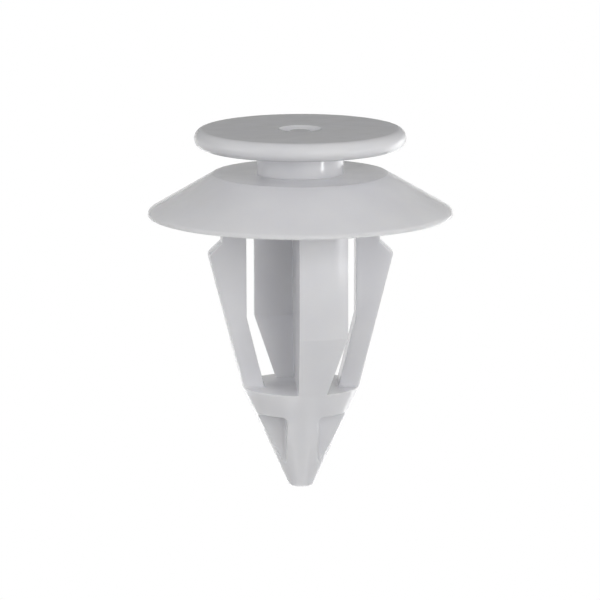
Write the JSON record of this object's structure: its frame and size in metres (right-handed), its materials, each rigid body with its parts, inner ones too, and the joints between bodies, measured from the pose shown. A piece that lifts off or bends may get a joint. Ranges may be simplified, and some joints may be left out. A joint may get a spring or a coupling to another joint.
{
  "type": "door trim clip",
  "caption": "Push-in trim clip moulded in one piece: a round head on a short neck, a thin umbrella skirt and a split stem with sprung legs and a cone point.",
  "frame": {"origin": "middle of the flat face of the head, on which the clip stands", "axes": "+Z along the stem from the head to the point; the spring legs lie on the X axis and the open sides of the stem face -Y and +Y"},
  "size_m": [0.0214, 0.0214, 0.0255],
  "materials": {
    "natural_nylon": "natural white nylon, slightly translucent, with the soft satin gloss of a polished mould"
  },
  "bodies": {
    "root": {"trim_clip": "natural_nylon"}
  },
  "joints": []
}
